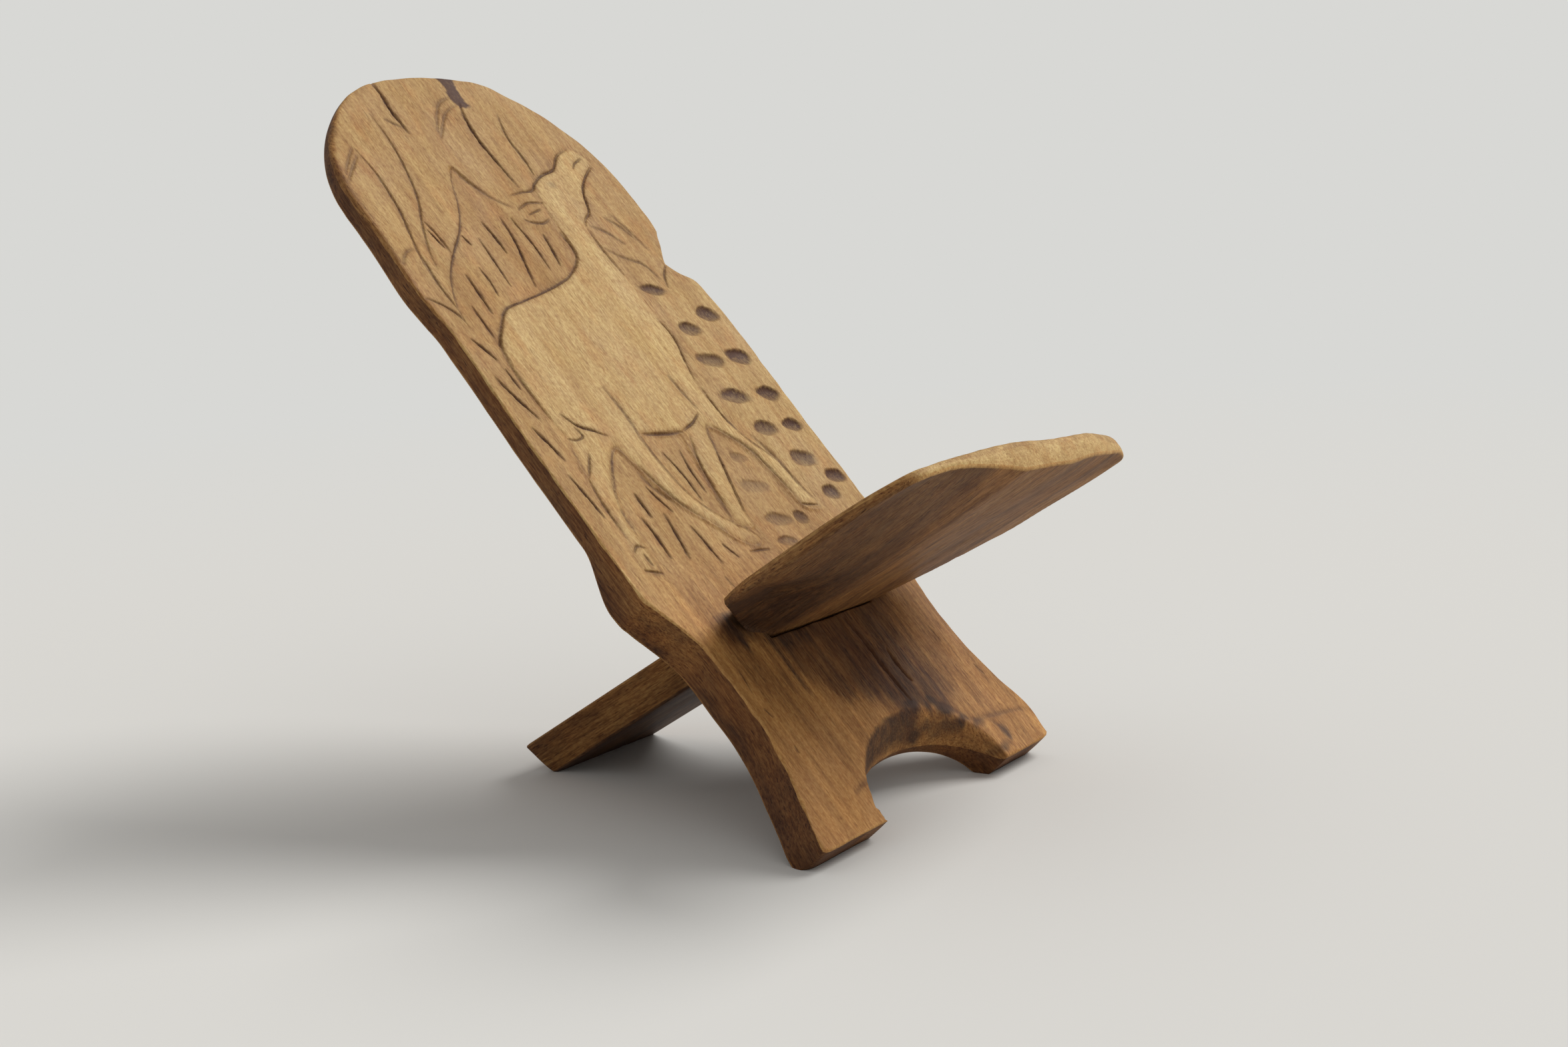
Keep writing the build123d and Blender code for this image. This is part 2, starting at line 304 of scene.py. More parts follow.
# Carving: gouged spots beside the animal (x, s, half length, half height, depth, darkness)
SPOTS = [
    (80, 424, 14, 5.5, 1.8, 0.85), (118, 396, 13, 7.5, 2.3, 0.9), (87, 385, 12.5, 6.5, 2.0, 0.8),
    (84, 355, 14, 7, 2.0, 0.75), (116, 354, 13, 8, 2.4, 1.0), (80, 321, 16, 7, 2.0, 0.85),
    (117, 318, 12.5, 7.5, 2.3, 1.0), (87, 290, 12.5, 7, 2.0, 0.8), (117, 288, 11, 6.5, 2.2, 1.0),
    (38, 272, 9, 5, 0.8, 0.4), (101, 259, 13, 8, 2.0, 0.8), (32, 247, 15, 6, 0.8, 0.4),
    (121, 239, 10, 7, 2.3, 1.0), (103, 227, 9, 7, 2.0, 0.85), (31, 218, 14, 6.5, 1.2, 0.55),
    (56, 215, 8, 6, 1.5, 0.75), (23, 200, 11, 5, 1.2, 0.6),
]
SPOT_TILT = radians(-13)

# Dark stain of hands and smoke under the seat; soot on the front (x, s, half width, half height,
# darkness), most of it around the arch, though the first place is painted shadow under the seat's
# left corner; painted shade below the slot; a worn dark place on the left arris; and painted shade
# under the seat's left shoulder
STAIN = [
    (-90, 148), (-68, 132), (-60, 108), (-40, 90), (-7, 75), (17, 64), (40, 56), (62, 58), (66, 74),
    (65, 92), (68, 122), (76, 146), (70, 172), (0, 172), (-80, 170), (-90, 160),
]
BLACK_PLACES = [
    (-80, 151, 13, 13, 0.60), (48, 122, 22, 24, 0.14), (28, 80, 8, 20, 0.16), (49, 49, 10, 6, 1.0),
    (59, 37, 7, 5, 0.9), (42, 57, 7, 5, 0.8), (20, 61, 12, 5, 0.7), (92, 17, 5, 8, 0.7),
    (72, 30, 8, 4, 0.6), (28, 44, 13, 4, 0.8), (46, 39, 13, 4, 0.7), (80, 8, 11, 4, 0.6),
]
SLOT_SHADE = (-38, 136, 34, 12)
ARRIS_STAIN = (-140, 446, 13, 30)
SHOULDER_SHADE = (-85, -58, 60, 52)

# The dark knot at the crown and the animal's eye
KNOT = [(22, 642), (38, 642), (35, 632), (33, 618), (35, 612), (24, 611), (21, 622), (24, 632)]
EYE = (58, 531)

# Camera, in metres, radians and millimetres of lens
CAMERA_PLACE = Vector((-1.0586, -0.8220, 0.400))
CAMERA_HEADING = 0.6269544
CAMERA_PITCH = 0.1686675
CAMERA_ROLL = -0.0519324
CAMERA_LENS = 45.909
CAMERA_SENSOR = 36.0

# Stage, in metres; each light has the side it comes from, its strength and its width in degrees
FLOOR_HALF = 12.0
FADE_START, FADE_END = 0.9, 2.6
WINDOW = (1.0, -0.55, 1.25), 2.5, 35
ROOM = (-0.2, -1.0, 0.7), 0.25, 70
AMBIENT = 0.48


# ---------------- plane curves and fields


def spline(points, step=2.0, closed=False):
    """A smooth line through the points, sampled about every step."""
    p = np.array(points, float)
    if closed:
        p = np.vstack([p[-1], p, p[0], p[1]])
    else:
        p = np.vstack([2 * p[0] - p[1], p, 2 * p[-1] - p[-2]])
    pieces = []
    for a, b, c, d in zip(p[:-3], p[1:-2], p[2:-1], p[3:]):
        t = np.linspace(0, 1, max(2, int(np.linalg.norm(c - b) / step) + 1), endpoint=False)[:, None]
        cubic = (-a + 3 * b - 3 * c + d) * t**3 + (2 * a - 5 * b + 4 * c - d) * t**2 + (c - a) * t
        pieces.append(b + cubic / 2)
    if not closed:
        pieces.append(p[-2:-1])
    return np.vstack(pieces)


def distance(points, path, closed=False):
    """Distance from each point to a path, and how far along the path the nearest place is, 0 to 1."""
    ends = np.vstack([path, path[:1]]) if closed else path
    lengths = np.linalg.norm(np.diff(ends, axis=0), axis=1)
    starts = np.concatenate([[0], np.cumsum(lengths)])
    best = np.full(len(points), np.inf)
    along = np.zeros(len(points))
    for a, b, length, start in zip(ends[:-1], ends[1:], lengths, starts):
        t = np.clip((points - a) @ (b - a) / max(length**2, 1e-9), 0, 1)
        d = np.hypot(*(points - a - t[:, None] * (b - a)).T)
        nearer = d < best
        best[nearer] = d[nearer]
        along[nearer] = (start + t[nearer] * length) / starts[-1]
    return best, along


def near(points, path, reach):
    """Which points lie inside a path's box, grown by reach."""
    low, high = path.min(0) - reach, path.max(0) + reach
    return np.flatnonzero(np.all((points > low) & (points < high), axis=1))


def inside(points, outline):
    """Which points lie inside a closed outline."""
    x, y = points.T
    result = np.zeros(len(points), bool)
    for (x0, y0), (x1, y1) in zip(outline, np.roll(outline, -1, axis=0)):
        crosses = (y0 > y) != (y1 > y)
        result ^= crosses & (x < (x1 - x0) * (y - y0) / (y1 - y0 + 1e-12) + x0)
    return result


def signed_distance(points, outline, reach=40.0):
    """Distance to a closed outline, positive inside it, no more than reach outside."""
    result = np.full(len(points), -reach)
    close = near(points, outline, reach)
    d = edge_distance(points[close], [outline])
    result[close] = np.where(inside(points[close], outline), d, -np.minimum(d, reach))
    return result


def edge_distance(points, loops):
    """Distance to the nearest edge of a plan, found on a wall of faces along the edges."""
    corners, sides = [], []
    for loop in loops:
        start = len(corners)
        for index, (x, s) in enumerate(loop):
            here, after = start + 2 * index, start + 2 * ((index + 1) % len(loop))
            corners += [(x, s, -1), (x, s, 1)]
            sides.append([here, here + 1, after + 1, after])
    tree = BVHTree.FromPolygons(corners, sides)
    return np.array([tree.find_nearest((x, s, 0))[3] for x, s in points.tolist()])


def step(low, high, value):
    """Smooth change from 0 at low to 1 at high."""
    t = np.clip((value - low) / (high - low), 0, 1)
    return t * t * (3 - 2 * t)


def waves(points, wavelength, seed, stretch=1.0, count=16):
    """Seeded smooth unevenness of about ±1, stretched along s."""
    rng = np.random.default_rng(seed)
    total = np.zeros(len(points))
    for _ in range(count):
        angle, phase, size = rng.uniform(0, 2 * pi), rng.uniform(0, 2 * pi), rng.uniform(0.6, 1.7)
        across, along = points[:, 0] * cos(angle), points[:, 1] * sin(angle) / stretch
        total += np.sin(2 * pi * (across + along) / (wavelength * size) + phase)
    return total / (0.5 * count) ** 0.5 / 1.6


def half_ellipse(half_width, height, count=56):
    """Arch from left to right that stands on s = 0."""
    angles = np.linspace(pi, 0, count)
    return np.column_stack([half_width * np.cos(angles), height * np.sin(angles)])


# ---------------- carving


CUTS = [
    (spline(line, 1.5), half_width, depth, ink)
    for lines, half_width, depth, ink in CUT_GROUPS
    for line in lines
]
ANIMAL = spline(ANTELOPE, 2.5, closed=True)
PANEL = spline(GRASS_PANEL, 2.5, closed=True)
KNOT_OUTLINE = spline(KNOT, 2.0, closed=True)


def cut_lines(points):
    """Depth and darkness of the cut lines, and the distance to the nearest one's edge."""
    depth, ink, gap = np.zeros(len(points)), np.zeros(len(points)), np.full(len(points), 20.0)
    for path, half_width, deep, dark in CUTS:
        close = near(points, path, 10.0)
        d, along = distance(points[close], path)
        ends = np.clip(np.sin(pi * along), 0, 1) ** 0.4
        ragged = 0.16 * np.sin(0.42 * points[close, 1]) + 0.12 * np.sin(1.1 * points[close, 1] + deep * 9)
        width = half_width * (0.55 + 0.45 * ends) * (1 + ragged)
        groove = np.clip(1 - (d / width) ** 2, 0, 1) ** 1.2 * ends
        depth[close] = np.maximum(depth[close], deep * groove)
        shade = np.exp(-((d / width) ** 2) * 1.3) + 0.22 * np.exp(-((d / (width + 1.6)) ** 2))
        ink[close] = np.maximum(ink[close], dark * ends * np.minimum(shade, 1))
        gap[close] = np.minimum(gap[close], d - width)
    return depth, ink, gap


def blot(points, x, s, half_width, half_height):
    """Soft round place: 1 in its middle and 0 outside it."""
    r = np.hypot((points[:, 0] - x) / half_width, (points[:, 1] - s) / half_height)
    return step(1.25, 0.35, r)


def spots(points):
    """Depth and darkness of the gouged spots, and the distance to the nearest one's edge. The darkness is
    dirt in the gouges, with painted shade that darkens their upper side.
    """
    depth, ink, gap = np.zeros(len(points)), np.zeros(len(points)), np.full(len(points), 20.0)
    for x, s, half_length, half_height, deep, dark in SPOTS:
        u = (points[:, 0] - x) * cos(SPOT_TILT) + (points[:, 1] - s) * sin(SPOT_TILT)
        v = (points[:, 1] - s) * cos(SPOT_TILT) - (points[:, 0] - x) * sin(SPOT_TILT)
        uneven = 1 + 0.07 * np.sin(0.33 * u + x) + 0.05 * np.sin(0.6 * v + s)
        r = np.hypot(u / half_length, v / half_height) * uneven
        high = np.clip(v / half_height, -1, 1)
        depth = np.maximum(depth, deep * np.clip(1 - r**2, 0, 1) ** 0.7 * (1 + 0.3 * high))
        streaks = 0.09 * np.sin(2.1 * u + 0.6 * v) + 0.07 * np.sin(4.3 * u - 0.9 * v + x)
        # painted shade: the ink grows darker towards each spot's upper side
        tone = 0.84 + 0.34 * high + 0.08 * step(0.3, 0.9, r) + streaks
        faded = step(1.14, 0.72 + 0.10 * high, r + 0.4 * streaks)
        ink = np.maximum(ink, min(1, 1.05 * dark) * faded * np.clip(tone, 0.25, 1))
        gap = np.minimum(gap, (r - 1.2) * half_height)
    return depth, ink, gap


def front_detail(points):
    """Distance to the area that the rows of points along the carving cover."""
    gap = np.minimum(cut_lines(points)[2], spots(points)[2])
    for outline in (ANIMAL, PANEL, KNOT_OUTLINE):
        gap = np.minimum(gap, np.abs(signed_distance(points, outline, 9.0)) - OUTLINE_ROWS[-1])
    return gap


def beside(path, distances):
    """Copies of a path, moved sideways by each distance."""
    tangent = np.gradient(path, axis=0)
    normal = np.column_stack([-tangent[:, 1], tangent[:, 0]]) / np.linalg.norm(tangent, axis=1)[:, None]
    return [path + normal * moved for moved in distances]


def detail_rows():
    """Rows of points along the cut lines and outlines, and rings of points in the spots."""
    rows = []
    for path, half_width, _, _ in CUTS:
        rows += beside(path, np.multiply(LINE_ROWS, half_width))
    for outline in (ANIMAL, PANEL, KNOT_OUTLINE):
        rows += beside(outline, OUTLINE_ROWS)
    angles = np.linspace(0, 2 * pi, RING_POINTS, endpoint=False)
    for x, s, half_length, half_height, _, _ in SPOTS:
        for ring in SPOT_RINGS:
            u, v = ring * half_length * np.cos(angles), ring * half_height * np.sin(angles)
            across, along = u * cos(SPOT_TILT) - v * sin(SPOT_TILT), u * sin(SPOT_TILT) + v * cos(SPOT_TILT)
            rows.append(np.column_stack([x + across, s + along]))
    points = np.vstack(rows)
    return points[np.unique(np.round(points / CLOSEST), axis=0, return_index=True)[1]]


# ---------------- plans and heights


def back_plan():
    """Outline of the back plank with the arch cut into its foot end."""
    left_foot = [(-141, 2), (-136, 0), (-110, 0), (-ARCH_HALF_WIDTH, 0)]
    right_foot = [(ARCH_HALF_WIDTH, 0), (105, 0), (128, 0.5), (134, 3)]
    return np.vstack([
        spline(LEFT_FLANK + CROWN + RIGHT_FLANK_TOP, 2.0)[1:],
        spline([RIGHT_FLANK_TOP[-1]] + DEEP_NOTCH[:2], 2.0)[1:],
        spline(DEEP_NOTCH[1:] + RIGHT_FLANK, 2.0)[1:],
        spline(right_foot, 2.5)[::-1],
        half_ellipse(ARCH_HALF_WIDTH, ARCH_HEIGHT)[::-1][1:-1],
        spline(left_foot, 2.5)[::-1],
    ])


def slot_loop(rise):
    """The slot's edge on one face; rise is how far it has moved up the plank there."""
    half_height = (PLANK_THICKNESS / 2 + SLOT_CLEARANCE) / cos(SLOT_SLANT)
    top = TONGUE_HALF_WIDTH + SLOT_CLEARANCE
    foot = top - TONGUE_SLANT
    low = straight([(-foot, -half_height), (foot, -half_height)], [60])
    right = straight([(foot, -half_height), (top, half_height)], [12])
    high = straight([(top, half_height), (-top, half_height)], [60])
    left = straight([(-top, half_height), (-foot, -half_height)], [12])
    return np.vstack([low[:-1], right[:-1], high[:-1], left[:-1]]) + (0, SLOT_HEIGHT + rise)


def seat_plan(slant):
    """Outline of the seat plank; the tongue's sides are drawn in by slant.

    Here s runs to the rear, so the front of the seat is at negative s.
    """
    neck, tail = TONGUE_HALF_WIDTH - slant, TAIL_HALF_WIDTH - slant
    left = [SEAT_LEFT[0], (-STOP_HALF_WIDTH, STOP_REACH), (-STOP_HALF_WIDTH + 8, 0.6), (-neck, -2)]
    left += [(-tail, -TONGUE_LENGTH + 3), (-tail + 3, -TONGUE_LENGTH)]
    right = [(-x, reach) for x, reach in left[1:]][::-1] + [SEAT_RIGHT[-1]]
    runs = [20, 4, 4, 92, 2]
    plan = np.vstack([
        straight(left + right[:1], runs + [50]),
        straight(right, runs[::-1])[1:],
        spline(SEAT_LEFT + SEAT_FRONT + SEAT_RIGHT, 2.2)[::-1][1:-1],
    ])
    return plan * (1, -1)


def thickness(s):
    """Thickness of the back plank at a height on it."""
    lower = FOOT_THICKNESS + (SHOULDER_THICKNESS - FOOT_THICKNESS) * step(HOLLOW_START, HOLLOW_END, s)
    return lower + (CROWN_THICKNESS - SHOULDER_THICKNESS) * step(CROWN_SPRING, BACK_LENGTH, s)


def rounding(d, radius):
    """How far a rounded edge has dropped at a distance d inside the outline."""
    t = np.clip(1 - d / radius, 0, 1)
    return radius * (1 - np.sqrt(1 - t**2))


def back_front_height(points, d):
    """Front of the back plank, with its carving."""
    x, s = points.T
    n = 0.35 * waves(points, 70, 1, 2.0) - 0.4 + 0.12 * waves(points, 12, 2, 6.0)
    animal = signed_distance(points, ANIMAL)
    panel = signed_distance(points, PANEL)
    soft = step(-35, -12, x) * step(452, 470, s)
    n -= PANEL_DEPTH * np.clip((panel + 0.3) / (1.6 + 6 * soft), 0, 1)
    n -= FIELD_DEPTH * np.exp(-np.clip(-animal, 0, 40) / 5.0) * (animal < 0)
    legs = step(318, 296, s) * step(190, 214, s) * step(112, 84, np.abs(x + 18))
    n -= LEG_FIELD_DEPTH * legs * step(0, 3.5, -animal)
    n -= (0.4 + 1.3 * legs) * np.exp(-np.clip(animal, 0, 40) / (2.2 + 2.3 * legs)) * (animal >= 0)
    n -= cut_lines(points)[0] + spots(points)[0]
    into = scoop(points)
    n -= SCOOP_DEPTH * np.clip(s / ARCH_HEIGHT, 0, 1) ** 0.6 * into ** (1.15 + 0.7 * step(0, 50, x))
    round_off = CROWN_WEAR * step(-70, -125, x) * step(400, 560, s)
    return n - rounding(d, ARRIS * (1 + 0.45 * waves(points, 22, 3)) + round_off)


def scoop(points):
    """How far a place lies from the scoop's rim, 0, to the edge of the arch, 1."""
    x, s = points.T
    outer = np.hypot(x / SCOOP_HALF_WIDTH, s / SCOOP_HEIGHT)
    inner = np.hypot(x / ARCH_HALF_WIDTH, s / ARCH_HEIGHT)
    return np.clip((1 - outer) / np.maximum(inner - outer, 1e-6), 0, 1)


def back_rear_height(points, d):
    """Rear of the back plank, with shallow adze facets that fade towards the edges."""
    x, s = points.T
    stroke = np.abs(np.sin((s + 0.12 * x) * pi / STROKE_LENGTH + 1.1 * waves(points, 90, 5)))
    lane = np.abs(np.sin(x * pi / LANE_WIDTH + 0.8 * waves(points, 80, 7, 3.0)))
    facets = STROKE_DEPTH * stroke + LANE_DEPTH * lane + 0.15 * waves(points, 26, 6, 2.0)
    even = 0.3 + 0.7 * step(2, 20, d)
    return -thickness(s) + 0.1 + even * np.clip(facets, 0, 1.5) + rounding(d, ARRIS)


def seat_sag(x, r):
    """How much lower the right half of the front lies."""
    return FRONT_SAG * step(-45, 35, x) * step(95, 190, r)


def front_rim(x):
    """Height of the rim along the front; its lower edge has a cusp between two shallow curves."""
    left, cusp, right = RIM_HEIGHT
    first = np.clip((x - RIM_X[0]) / (RIM_X[1] - RIM_X[0]), 0, 1)
    second = np.clip((x - RIM_X[1]) / (RIM_X[2] - RIM_X[1]), 0, 1)
    curves = RIM_CURVE[0] * np.sin(pi * first) + RIM_CURVE[1] * np.sin(pi * second)
    upturned = (RIGHT_RIM - right) * step(108, 150, x)
    return left + (cusp - left) * first + (right - cusp) * second - curves + upturned


def seat_top_height(points, d):
    """Top of the seat and of its tongue."""
    x, r = points[:, 0], -points[:, 1]
    reach = np.hypot(x - SEAT_MIDDLE, r - DISH_CENTRE)
    dish = DISH_DEPTH * np.clip(1 - (reach / DISH_RADIUS) ** 2, 0, 1)
    uneven = 0.3 * waves(points, 60, 11, 2.5) + 0.12 * waves(points, 12, 12, 5.0)
    radius = 1.4 + 3.4 * step(15, 60, r) * (1 - 0.7 * step(-60, -120, x))
    radius = radius + CORNER_WEAR * step(70, 125, x) * step(120, 165, r)
    n = PLANK_THICKNESS / 2 - 0.5 * step(5, 40, r) - dish + uneven * step(10, 40, r)
    return n - rounding(d, radius) - seat_sag(x, r)


def seat_under_height(points, d):
    """Underside: planed up towards the left rim, rising gently to the front, with shallow flutes."""
    x, r = points[:, 0], -points[:, 1]
    beyond = HULL_START - x
    hull = 0.5 * (beyond + np.sqrt(beyond**2 + HULL_BLEND**2)) * tan(HULL_SLOPE) * step(-3, 5, r)
    hull += SHOULDER_THINNING * step(-48, -108, x) * step(95, 28, r)
    front_reach = np.interp(x, *np.transpose(SEAT_FRONT))
    front = np.clip((r - RISE_START) / (front_reach - RISE_START), 0, 1) ** 1.7
    rise = hull * (1 - front) + (PLANK_THICKNESS - front_rim(x)) * front
    right = step(64, 90, x) * step(0, 10, r) * (1 - front)
    rise += (PLANK_THICKNESS - RIGHT_RIM) * np.clip(1 - d / RIGHT_BEVEL, 0, 1) ** 1.2 * right
    flutes = 0.35 * waves(points, 38, 21, 8.0) + 0.10 * waves(points, 11, 22, 9.0)
    rise += (0.6 + np.clip(flutes, -0.6, 1.0)) * step(8, 40, r)
    rise = np.minimum(rise, PLANK_THICKNESS - THINNEST)
    return rise - PLANK_THICKNESS / 2 + rounding(d, 1.2 + 0.6 * step(15, 60, r)) - seat_sag(x, r)


# ---------------- sheets


def straight(corners, counts):
    """Points along straight runs, each run divided into its own number of steps."""
    pieces = []
    for a, b, count in zip(np.array(corners[:-1], float), np.array(corners[1:], float), counts):
        pieces.append(a + (b - a) * np.arange(count)[:, None] / count)
    pieces.append([corners[-1]])
    return np.vstack(pieces)


def on_plan(points, loops):
    """Which points lie inside the outline and outside its holes."""
    result = inside(points, loops[0])
    for hole in loops[1:]:
        result &= ~inside(points, hole)
    return result


def lattice(outline, spacing):
    """Points of a triangular lattice over a plan's box."""
    low, high = outline.min(0), outline.max(0)
    y = np.arange(low[1], high[1], spacing * ROW_SPACING)
    x = np.arange(low[0], high[0] + spacing, spacing)
    grid_y, grid_x = np.meshgrid(y, x, indexing="ij")
    grid_x = grid_x - 0.5 * spacing * (np.arange(len(y)) % 2)[:, None]
    return np.column_stack([grid_x.ravel(), grid_y.ravel()])


def inward(loop, loops):
    """Directions from the points of a plan's edge into the plan."""
    tangent = np.roll(loop, -1, 0) - np.roll(loop, 1, 0)
    normal = np.column_stack([tangent[:, 1], -tangent[:, 0]])
    normal /= np.linalg.norm(normal, axis=1)[:, None]
    return normal if on_plan(loop + normal * RIM_ROWS[0], loops).mean() > 0.5 else -normal


def rim_points(loops):
    """Rows of points just inside the edges, so that rounded edges come out even."""
    rows = [(loop + inward(loop, loops) * row, row) for loop in loops for row in RIM_ROWS]
    kept = []
    for points, row in rows:
        points = points[on_plan(points, loops)]
        kept.append(points[edge_distance(points, loops) > row * 0.95])
    return np.vstack(kept)


def fill_points(loops, carved, coarse):
    """Points over a plan: rows along any carving, a finer lattice beside it and a coarse one elsewhere."""
    if carved:
        kept = [detail_rows()]
        for spacing, low, high in ((MEDIUM, MEDIUM_FROM, MEDIUM_TO), (coarse, MEDIUM_TO, np.inf)):
            points = lattice(loops[0], spacing)
            gap = front_detail(points)
            kept.append(points[(gap >= low) & (gap < high)])
        points = np.vstack(kept)
    else:
        points = lattice(loops[0], coarse)
    points = points[on_plan(points, loops)]
    points = points[edge_distance(points, loops) > RIM_ROWS[-1] + 0.5]
    return np.vstack([rim_points(loops), points])


def triangulate(loops, points):
    """Plan, triangles, and for each loop the vertices along it."""
    edges, start = [], 0
    for loop in loops:
        edges += [(start + i, start + (i + 1) % len(loop)) for i in range(len(loop))]
        start += len(loop)
    given = np.vstack(loops + [points])
    inside_only, same_place = 1, 1e-6
    result = delaunay_2d_cdt([Vector(p) for p in given], edges, [], inside_only, same_place)
    plan, faces = np.array([p[:] for p in result[0]]), np.array(result[2])
    place = np.full(len(given), -1)
    for index, sources in enumerate(result[3]):
        place[list(sources)] = index
    ends = np.cumsum([0] + [len(loop) for loop in loops])
    rings = [place[a:b] for a, b in zip(ends[:-1], ends[1:])]
    return plan, faces[on_plan(plan[faces].mean(axis=1), loops)], rings


def plank(name, faces_of, heights, detailed, axes, swell, coarse):
    """A piece from a front sheet, a rear sheet and walls between their matching loops.

    A detailed front has rows of points along its carving. Only the outer wall swells. Returns the
    piece and, for each vertex, its place (x, s, n), its distance from the edge and its face.
    """
    co, far, face_of, faces, rings, total = [], [], [], [], [], 0
    for loops, height, carved, which in zip(faces_of, heights, (detailed, False), (FRONT, REAR)):
        plan, triangles, loop_rings = triangulate(loops, fill_points(loops, carved, coarse))
        d = edge_distance(plan, loops)
        co.append(np.column_stack([plan, height(plan, d)]))
        far.append(d)
        face_of.append(np.full(len(plan), which))
        faces += [tuple(int(v) + total for v in f) for f in triangles]
        rings.append([ring + total for ring in loop_rings])
        total += len(plan)
    sheets = np.vstack(co)
    for index, (front_ring, rear_ring) in enumerate(zip(*rings)):
        a, b = sheets[front_ring], sheets[rear_ring]
        out = np.column_stack([-inward(a[:, :2], faces_of[0]), np.zeros(len(a))])
        rows = [front_ring]
        for t in WALL_STEPS:
            level = a * (1 - t) + b * t
            facets = waves(np.column_stack([level[:, 1] + level[:, 0], level[:, 2]]), 30, 50)
            outward = (swell + 0.15 * facets) * sin(pi * t) * (index == 0)
            co.append(level + out * np.reshape(outward, (-1, 1)))
            far.append(np.zeros(len(a)))
            face_of.append(np.full(len(a), WALL))
            rows.append(total + np.arange(len(a)))
            total += len(a)
        rows.append(rear_ring)
        for upper, lower in zip(rows[:-1], rows[1:]):
            for corners in zip(upper, lower, np.roll(lower, -1), np.roll(upper, -1)):
                faces.append(tuple(int(v) for v in corners))
    co = np.vstack(co)
    turn = np.array(axes.to_3x3())
    world = (turn @ (co * MM).T).T + np.array(axes.translation)
    world[:, 2] = np.maximum(world[:, 2], 0)
    mesh = bpy.data.meshes.new(name)
    mesh.from_pydata(world.tolist(), [], faces)
    shell = bmesh.new()
    shell.from_mesh(mesh)
    bmesh.ops.recalc_face_normals(shell, faces=shell.faces)
    shell.to_mesh(mesh)
    shell.free()
    mesh.shade_smooth()
    return new_object(name, mesh), co, np.concatenate(far), np.concatenate(face_of)


def new_object(name, data):
    """Adds an object to the scene."""
    item = bpy.data.objects.new(name, data)
    bpy.context.scene.collection.objects.link(item)
    return item


def attribute(piece, name, values):
    """Stores one number, or one vector, for each vertex."""
    kind, field = ("FLOAT", "value") if values.ndim == 1 else ("FLOAT_VECTOR", "vector")
    layer = piece.data.attributes.new(name, kind, "POINT")
    layer.data.foreach_set(field, values.astype(np.float32).ravel())


def plank_axes(origin, along, out):
    """Matrix from a plank's axes to the frame's: x across, s along and n out of its face."""
    matrix = Matrix((along.cross(out), along, out)).transposed().to_4x4()
    matrix.translation = origin
    return matrix


BACK_ORIGIN = Vector((MIDDLE_X, FRONT_FOOT_Y, FOOT_FLAT_START * sin(LEAN))) * MM
BACK_ALONG = Vector((0, sin(LEAN), cos(LEAN)))
BACK_OUT = Vector((0, -cos(LEAN), sin(LEAN)))
SEAT_ALONG = Vector((0, cos(SEAT_RISE), -sin(SEAT_RISE)))
SEAT_OUT = Vector((0, sin(SEAT_RISE), cos(SEAT_RISE)))
SEAT_ORIGIN = BACK_ORIGIN + BACK_ALONG * SLOT_HEIGHT * MM


# ---------------- materials


SURFACE = "Principled BSDF"


class Nodes:
    """Short calls that add shader nodes to a new material or world and link them."""

    def __init__(self, owner, main):
        owner.use_nodes = True
        self.tree = owner.node_tree
        self.main = self.tree.nodes[main]

    def put(self, socket, value):
        if isinstance(value, bpy.types.NodeSocket):
            self.tree.links.new(value, socket)
        else:
            socket.default_value = value

    def add(self, kind, **inputs):
        node = self.tree.nodes.new("ShaderNode" + kind)
        for name, value in inputs.items():
            self.put(node.inputs[name], value)
        return node

    def attribute(self, name, output="Fac"):
        node = self.add("Attribute")
        node.attribute_name = name
        return node.outputs[output]

    def noise(self, vector, scale, detail=3.0, roughness=0.55, distortion=0.0):
        place = self.add("Mapping", Vector=vector, Scale=scale).outputs["Vector"]
        look = {"Detail": detail, "Roughness": roughness, "Distortion": distortion}
        return self.add("TexNoise", Vector=place, Scale=1.0, **look).outputs["Fac"]

    def range(self, value, low, high, to_low=0.0, to_high=1.0):
        node = self.add("MapRange")
        for socket, given in zip(node.inputs[:5], (value, low, high, to_low, to_high)):
            self.put(socket, given)
        return node.outputs["Result"]

    def math(self, operation, a, b, clamp=False):
        node = self.add("Math")
        node.operation, node.use_clamp = operation, clamp
        self.put(node.inputs[0], a)
        self.put(node.inputs[1], b)
        return node.outputs[0]

    def mix(self, factor, a, b, blend="MIX"):
        node = self.add("Mix")
        node.data_type, node.blend_type = "RGBA", blend
        self.put(node.inputs["Factor"], factor)
        self.put(node.inputs["A"], a)
        self.put(node.inputs["B"], b)
        return node.outputs["Result"]

    def mix_shaders(self, factor, a, b):
        node = self.add("MixShader")
        for socket, given in zip(node.inputs, (factor, a, b)):
            self.put(socket, given)
        return node.outputs["Shader"]

    def bump(self, height, strength, depth, normal=None):
        node = self.add("Bump", Height=height, Strength=strength, Distance=depth)
        if normal is not None:
            self.put(node.inputs["Normal"], normal)
        return node.outputs["Normal"]


def rgb(red, green, blue):
    """A colour as a screen shows it, 0 to 255, as the linear value that a shader takes."""
    parts = [c / 255 for c in (red, green, blue)]
    return tuple(c / 12.92 if c <= 0.04045 else ((c + 0.055) / 1.055) ** 2.4 for c in parts) + (1.0,)


# Colours of the wood, from bare to stained, and of the stage
HONEY = rgb(181, 147, 91)
HONEY_DEEP = rgb(159, 121, 69)
BLEACHED = rgb(209, 183, 126)
BLEACHED_DEEP = rgb(193, 162, 103)
ORANGE = rgb(182, 130, 70)
GOLDEN = rgb(196, 144, 80)
GOLDEN_DEEP = rgb(152, 106, 56)
UMBER = rgb(70, 44, 29)
UMBER_LIGHT = rgb(134, 88, 44)
# near-black brown for soot, also used for painted shade
SOOT_AND_SHADE = rgb(45, 31, 29)
CUT_BROWN = rgb(72, 42, 24)
FLOOR_COLOUR = rgb(208, 206, 201)
BACKGROUND = rgb(216, 216, 213)


